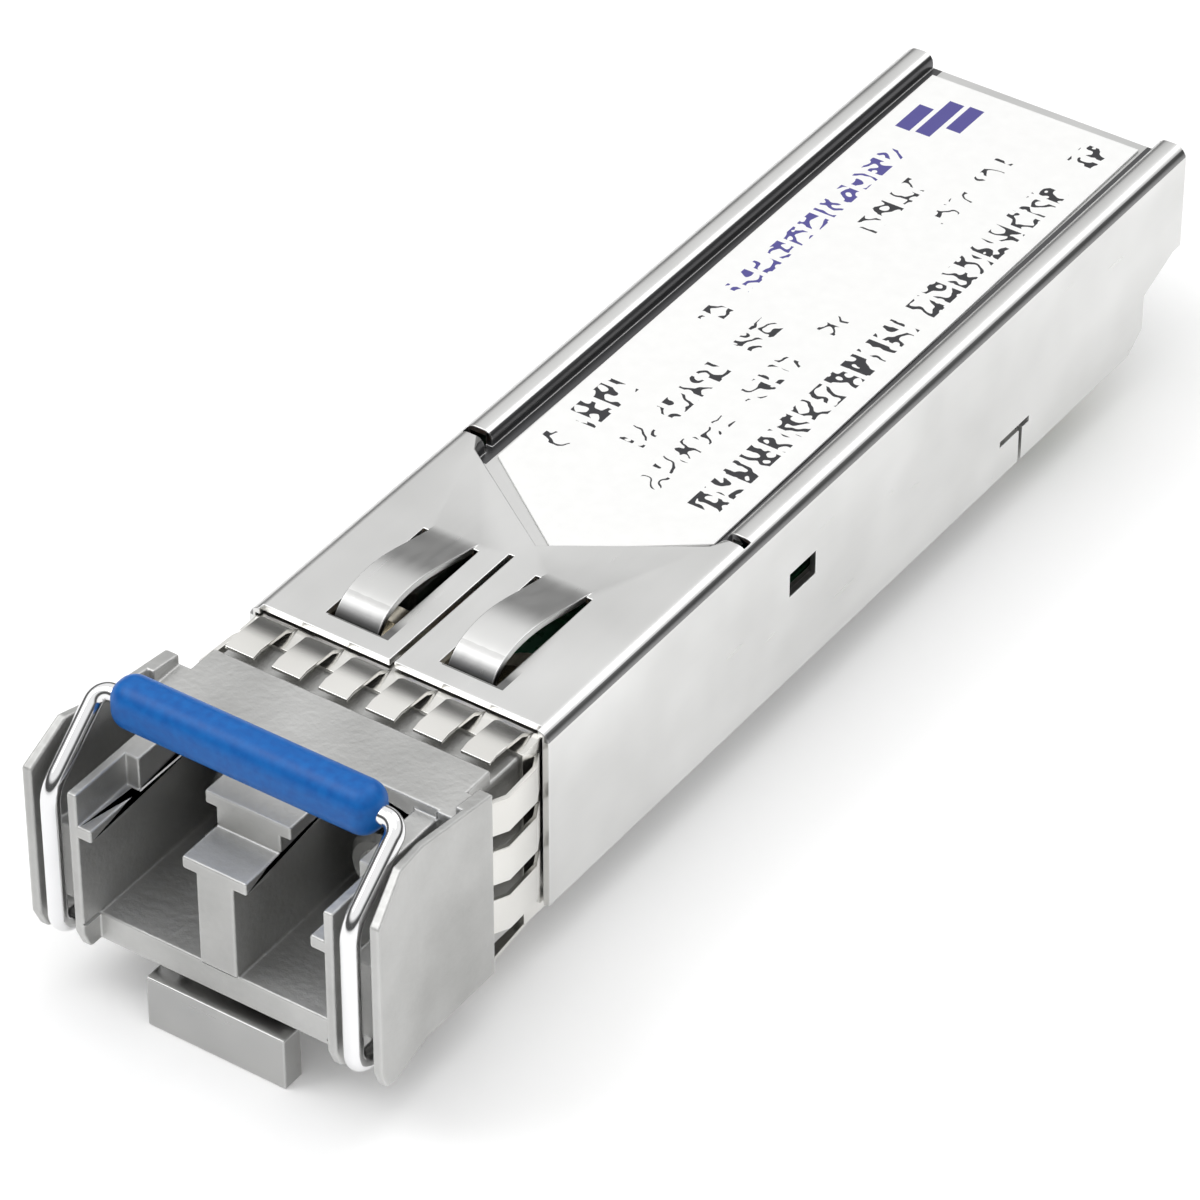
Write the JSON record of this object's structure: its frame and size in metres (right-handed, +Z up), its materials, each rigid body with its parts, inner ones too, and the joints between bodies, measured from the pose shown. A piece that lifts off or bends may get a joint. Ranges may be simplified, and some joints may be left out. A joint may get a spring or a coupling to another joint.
{
  "type": "optical transceiver module",
  "caption": "Slim metal plug-in module with twin square fibre ports, a wire bail with a coloured grip that releases a latch, spring shielding fingers and a labelled steel cover.",
  "frame": {"origin": "below the middle of the module, level with its lowest point, the lower edge of the latch tab", "axes": "+X right seen from the fibre ports, +Y from the ports to the contact tongue, +Z up through the label"},
  "size_m": [0.0156, 0.0574, 0.0135],
  "materials": {
    "cast_zinc": null,
    "cover_steel": "bright satin stainless sheet",
    "spring_steel": "thin stainless spring strip",
    "bail_steel": "bright drawn wire",
    "blue_plastic": "moulded blue plastic, semi-gloss",
    "latch_steel": "satin steel",
    "pin_steel": "ground steel pin",
    "barrel_steel": "turned stainless",
    "zirconia": "white ceramic",
    "lens_glass": "clear glass",
    "can_steel": "gold-plated can",
    "flex_film": "amber polyimide film",
    "retainer_plastic": "black moulded plastic",
    "board_green": "green solder mask on glass-epoxy laminate",
    "contact_gold": "gold-plated copper",
    "chip_black": "black moulded epoxy",
    "passive_ceramic": "ceramic chips",
    "gap_pad": "soft grey silicone",
    "label_paper": null
  },
  "bodies": {
    "housing": {"die_cast_base": "cast_zinc", "shield_cover": "cover_steel", "emi_collar": "spring_steel", "latch_pivot_pin": "pin_steel", "latch_spring": "spring_steel", "tosa_barrel": "barrel_steel", "rosa_barrel": "barrel_steel", "tosa_split_sleeve": "zirconia", "rosa_split_sleeve": "zirconia", "tosa_fibre_stub": "zirconia", "rosa_lens": "lens_glass", "tosa_can": "can_steel", "rosa_can": "can_steel", "tosa_flex": "flex_film", "rosa_flex": "flex_film", "osa_retainer": "retainer_plastic", "main_pcb": "board_green", "edge_contacts": "contact_gold", "laser_driver_ic": "chip_black", "limiting_amp_ic": "chip_black", "controller_ic": "chip_black", "memory_ic": "chip_black", "chip_passives": "passive_ceramic", "thermal_pad": "gap_pad", "label": "label_paper"},
    "bail": {"bail_wire": "bail_steel", "bail_sleeve": "blue_plastic"},
    "latch": {"latch_lever": "latch_steel"}
  },
  "joints": [
    {"name": "bail_hinge", "type": "hinge", "parent": "housing", "child": "bail", "pos_m": [0, -0.02601, 0.00315], "axis": [1, 0, 0], "range_deg": [0, 90]},
    {"name": "latch_pivot", "type": "hinge", "parent": "housing", "child": "latch", "pos_m": [0, -0.02231, 0.00268], "axis": [1, 0, 0], "range_deg": [0, 5.4], "deforming": ["latch_spring"]}
  ],
  "couplings": [
    {"joint": "latch_pivot", "follows": "bail_hinge", "ratio": 0.06}
  ]
}
